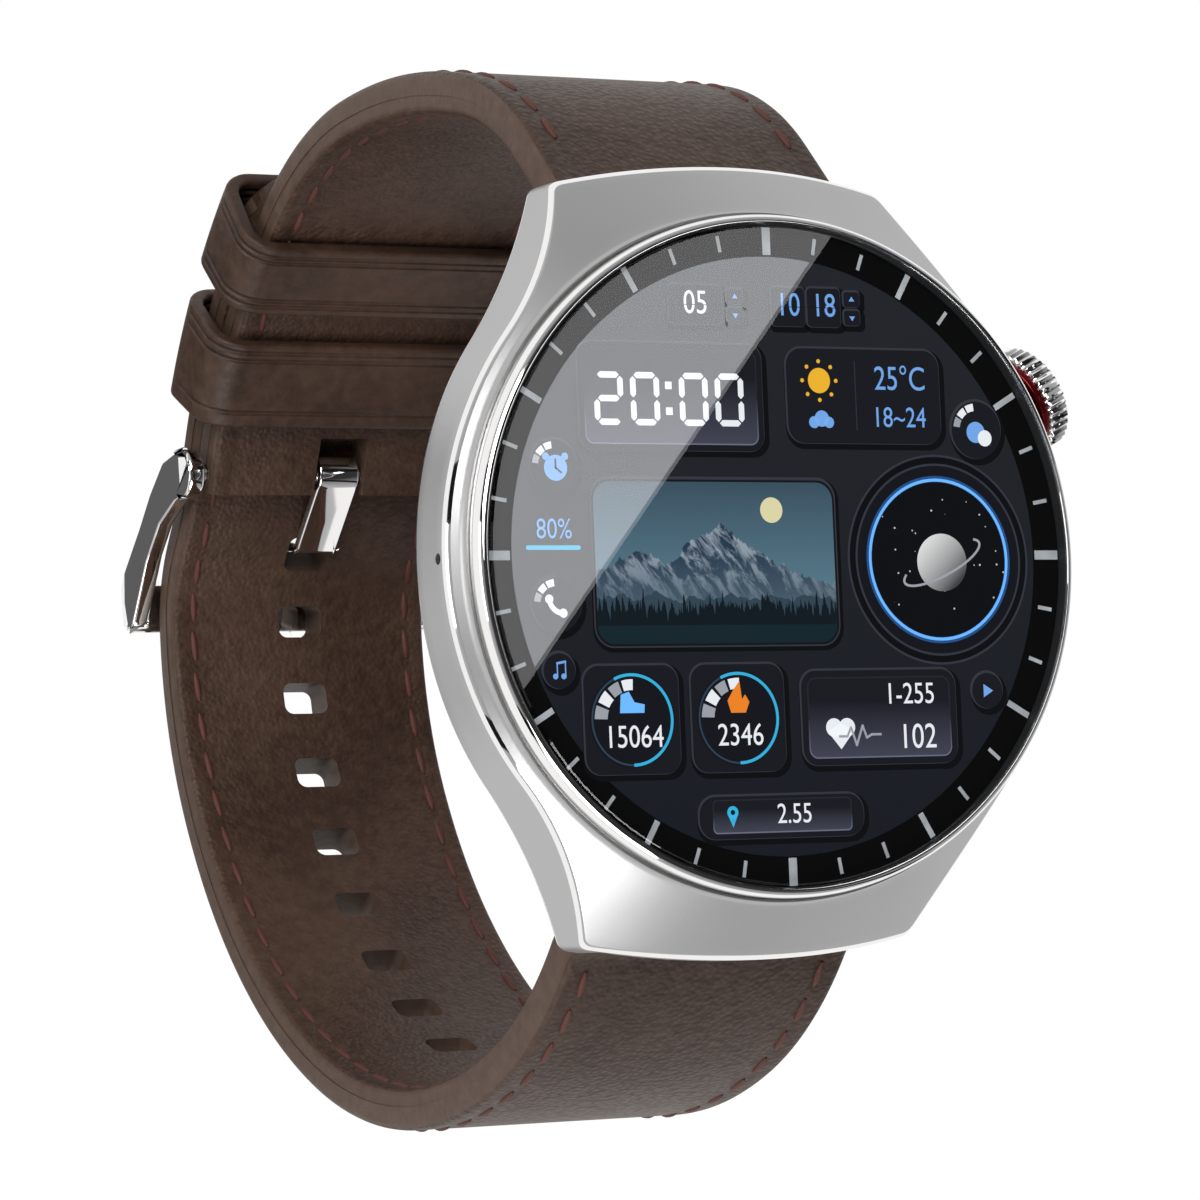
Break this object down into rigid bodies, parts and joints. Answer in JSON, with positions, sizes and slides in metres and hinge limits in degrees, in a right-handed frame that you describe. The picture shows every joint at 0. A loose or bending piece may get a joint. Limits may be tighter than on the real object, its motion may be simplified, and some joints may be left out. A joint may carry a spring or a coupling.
{
  "type": "smartwatch",
  "caption": "Round smartwatch with a lit display, a crown and a side button, closed on a stitched leather strap with pin buckle and keepers.",
  "frame": {"origin": "centre of the flat case back", "axes": "+Z out through the dial, +Y towards 12 o'clock, +X towards 3 o'clock"},
  "size_m": [0.0493, 0.0753, 0.0831],
  "materials": {
    "satin_steel": "bead-blasted satin with polished edges",
    "polished_steel": "mirror polish",
    "plain_steel": "turned",
    "cover_glass": "flat, polished",
    "black_rubber": "moulded",
    "dial_black": "printed black",
    "tick_ink": "printed light grey",
    "display": "lit display",
    "flex_film": "amber film",
    "frame_alloy": "stamped",
    "antenna_gold": "plated",
    "circuit_board": "solder mask",
    "black_parts": "moulded",
    "cell_foil": "wrapped cell",
    "cover_black": "glossy black",
    "led_clear": "clear green",
    "copper_coil": "enamelled copper winding",
    "ferrite": "sheet",
    "red_anodised": "anodised dark red",
    "nylon": "moulded",
    "brown_leather": "fine creased grain",
    "lining_leather": "pebbled lining"
  },
  "bodies": {
    "case": {"mid_case": "satin_steel", "bezel_ring": "polished_steel", "cover_glass": "cover_glass", "glass_gasket": "black_rubber", "dial_ring": "dial_black", "tick_marks": "tick_ink", "display_panel": "display", "display_flex": "flex_film", "inner_frame": "frame_alloy", "antenna": "antenna_gold", "logic_board": "circuit_board", "shield_can": "plain_steel", "board_chips": "black_parts", "battery": "cell_foil", "speaker_module": "black_parts", "vibration_motor": "plain_steel", "microphone": "antenna_gold", "mic_boot": "black_rubber", "rear_cover": "cover_black", "rear_seal": "black_rubber", "case_screws": "plain_steel", "sensor_lens": "cover_black", "sensor_board": "circuit_board", "sensor_leds": "led_clear", "charging_coil": "copper_coil", "ferrite_sheet": "ferrite", "crown_tube": "plain_steel", "crown_switch": "black_parts", "button_switch": "black_parts", "upper_bar_tube": "plain_steel", "upper_bar_spring": "plain_steel", "lower_bar_tube": "plain_steel", "lower_bar_spring": "plain_steel"},
    "crown_carrier": {"crown_thrust_cap": "nylon"},
    "crown": {"crown_knob": "polished_steel", "crown_red_ring": "red_anodised", "crown_stem": "plain_steel", "crown_seal": "black_rubber"},
    "side_key": {"side_button": "plain_steel", "button_seal": "black_rubber"},
    "upper_release": {"upper_release_tip": "plain_steel"},
    "lower_release": {"lower_release_tip": "plain_steel"},
    "upper_strap": {"upper_strap_leather": "brown_leather", "upper_strap_lining": "lining_leather"},
    "strap_back": {"upper_end_leather": "brown_leather", "upper_end_lining": "lining_leather", "tail_leather": "brown_leather", "tail_lining": "lining_leather", "fixed_keeper": "brown_leather"},
    "lower_strap": {"lower_strap_leather": "brown_leather", "lower_strap_lining": "lining_leather"},
    "sliding_keeper": {"free_keeper": "brown_leather"},
    "buckle": {"buckle_frame": "polished_steel", "buckle_bar": "polished_steel"},
    "tang": {"buckle_tang": "polished_steel"}
  },
  "joints": [
    {"name": "strap_swing", "type": "hinge", "parent": "case", "child": "upper_strap", "pos_m": [0, 0.0238, 0.00255], "axis": [1, 0, 0], "range_deg": [-4, 4], "stiffness_Nm_per_rad": 0.05},
    {"name": "upper_flex", "type": "hinge", "parent": "upper_strap", "child": "strap_back", "pos_m": [0, 0.03557, -0.0313], "axis": [1, 0, 0], "range_deg": [-2.7, 2.7]},
    {"name": "lower_flex", "type": "hinge", "parent": "strap_back", "child": "lower_strap", "pos_m": [0, -0.03649, -0.02741], "axis": [1, 0, 0], "range_deg": [-3, 3]},
    {"name": "keeper_slide", "type": "hinge", "parent": "strap_back", "child": "sliding_keeper", "pos_m": [0, -0.00383, -0.01848], "axis": [1, 0, 0], "range_deg": [-3.5, 0.5]},
    {"name": "buckle_swing", "type": "hinge", "parent": "strap_back", "child": "buckle", "pos_m": [0, 0.01228, -0.05835], "axis": [1, 0, 0], "range_deg": [0, 1.5]},
    {"name": "tang_swing", "type": "hinge", "parent": "buckle", "child": "tang", "pos_m": [0, 0.01228, -0.05835], "axis": [1, 0, 0], "range_deg": [0, 1]},
    {"name": "crown_press", "type": "slide", "parent": "case", "child": "crown_carrier", "axis": [-0.8988, -0.4384, 0], "range_m": [0, 0.0004], "stiffness_N_per_m": 2000, "springref_m": -0.0005},
    {"name": "crown_turn", "type": "hinge", "parent": "crown_carrier", "child": "crown", "pos_m": [0.02157, 0.01052, 0.0062], "axis": [0.8988, 0.4384, 0], "continuous": true},
    {"name": "side_button_press", "type": "slide", "parent": "case", "child": "side_key", "axis": [-0.866, 0.5, 0], "range_m": [0, 0.00035], "stiffness_N_per_m": 2500, "springref_m": -0.0004},
    {"name": "upper_release_slide", "type": "slide", "parent": "case", "child": "upper_release", "axis": [-1, 0, 0], "range_m": [0, 0.0013], "stiffness_N_per_m": 200, "springref_m": -0.003},
    {"name": "lower_release_slide", "type": "slide", "parent": "case", "child": "lower_release", "axis": [-1, 0, 0], "range_m": [0, 0.0013], "stiffness_N_per_m": 200, "springref_m": -0.003}
  ],
  "couplings": [
    {"joint": "upper_flex", "follows": "strap_swing", "ratio": -0.6454},
    {"joint": "lower_flex", "follows": "strap_swing", "ratio": 0.7298}
  ]
}
